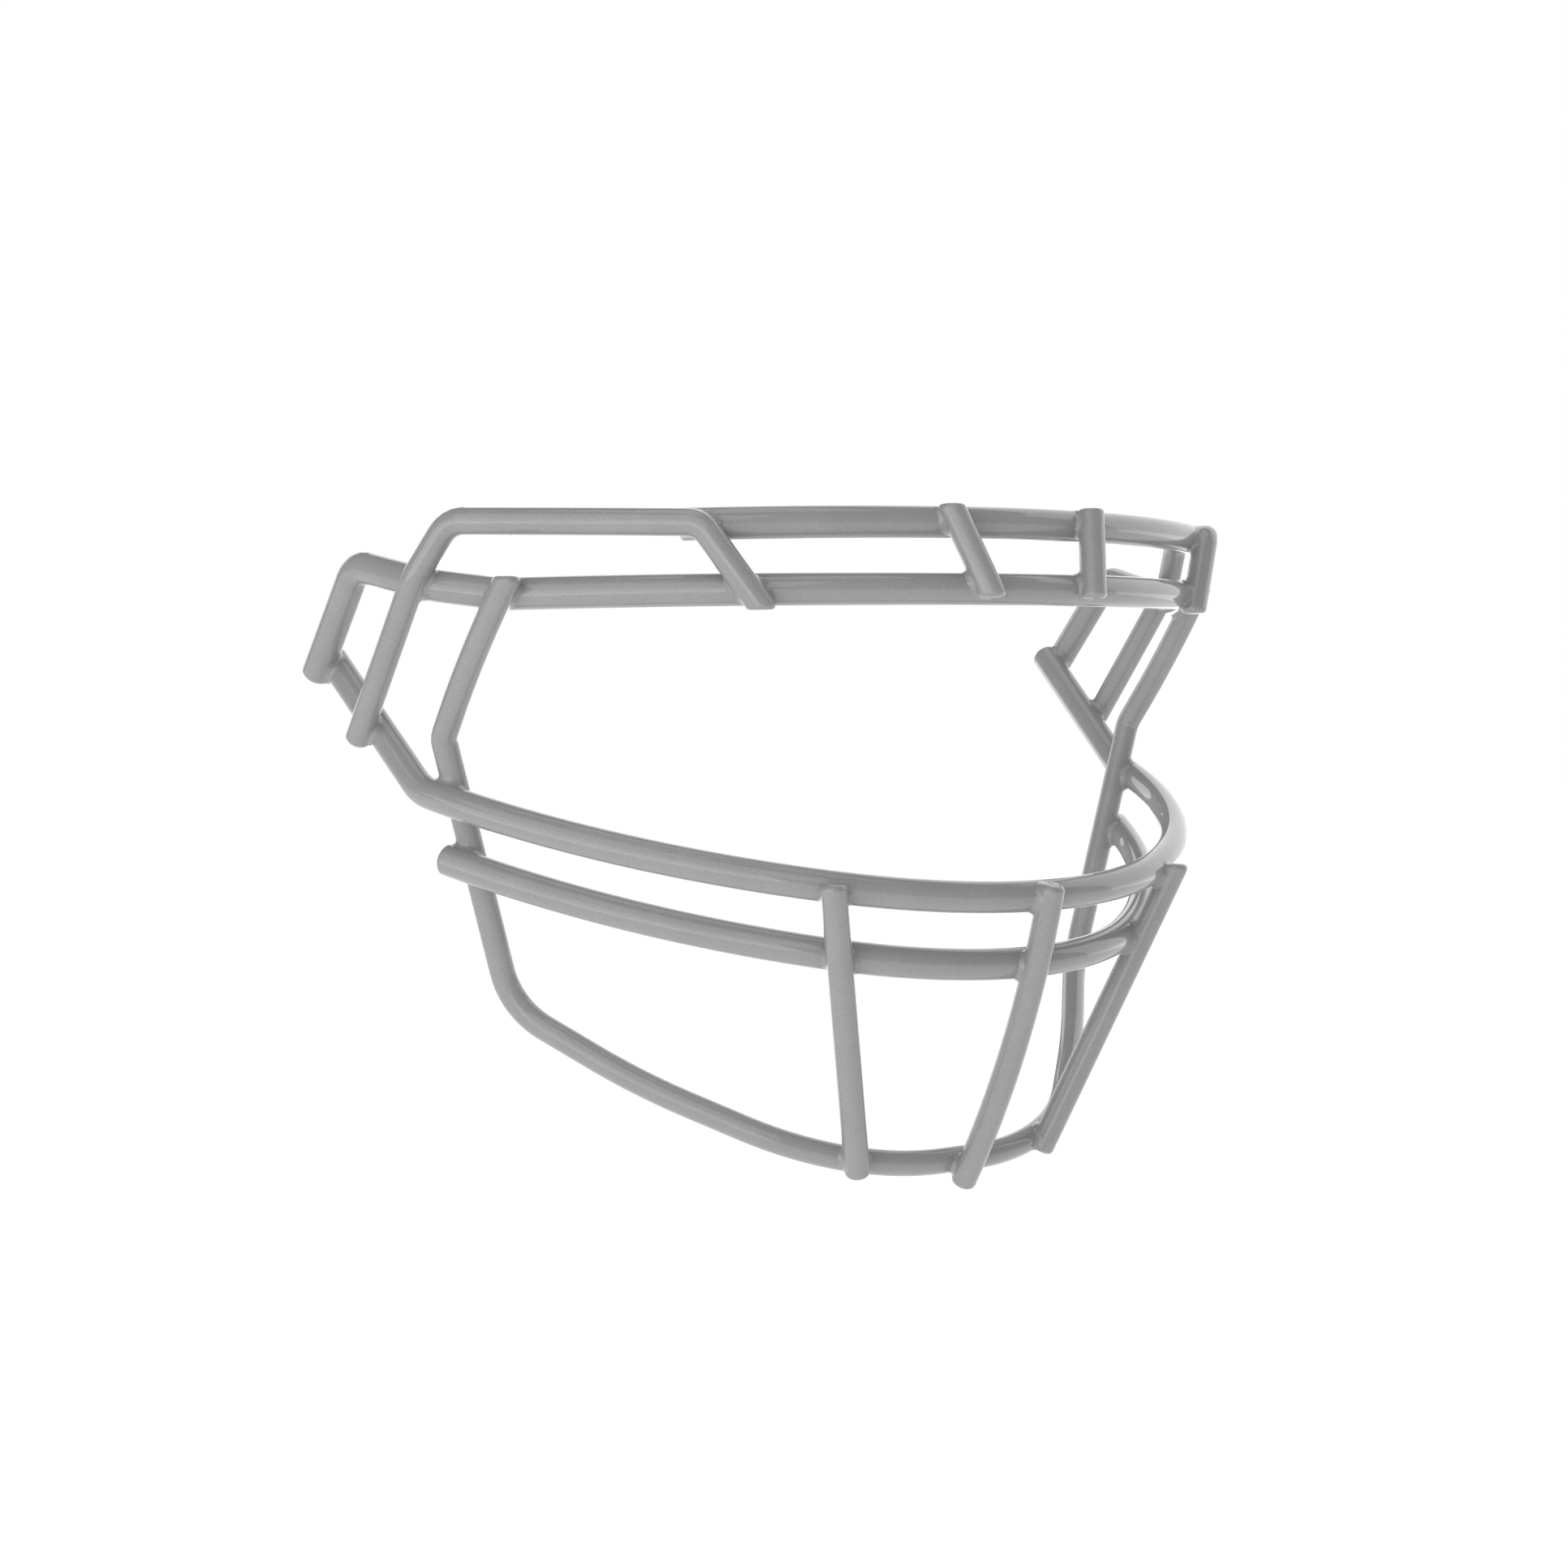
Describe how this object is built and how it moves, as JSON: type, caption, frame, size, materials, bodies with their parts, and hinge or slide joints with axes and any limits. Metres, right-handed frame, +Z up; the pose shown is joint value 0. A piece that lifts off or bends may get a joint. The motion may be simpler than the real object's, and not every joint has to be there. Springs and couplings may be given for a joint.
{
  "type": "football helmet facemask",
  "caption": "Welded wire guard for the front of a football helmet, with brow bars, temple loops, cheek and mouth bars, uprights and a jaw loop.",
  "frame": {"origin": "centre of the guard's overall box", "axes": "+Z up with the lower brow bar level, -Y forward out of the face, +X to the wearer's left"},
  "size_m": [0.252, 0.1419, 0.1668],
  "materials": {
    "grey_coating": "satin mid-grey dip coating over steel bar, with a fine grain"
  },
  "bodies": {
    "root": {"lower_brow_bar": "grey_coating", "upper_brow_bar": "grey_coating", "cheek_bar": "grey_coating", "mouth_bar": "grey_coating", "jaw_loop": "grey_coating", "right_temple_loop": "grey_coating", "left_temple_loop": "grey_coating", "right_upright": "grey_coating", "centre_upright": "grey_coating", "left_upright": "grey_coating", "right_brow_strut": "grey_coating", "left_brow_strut": "grey_coating"}
  },
  "joints": []
}
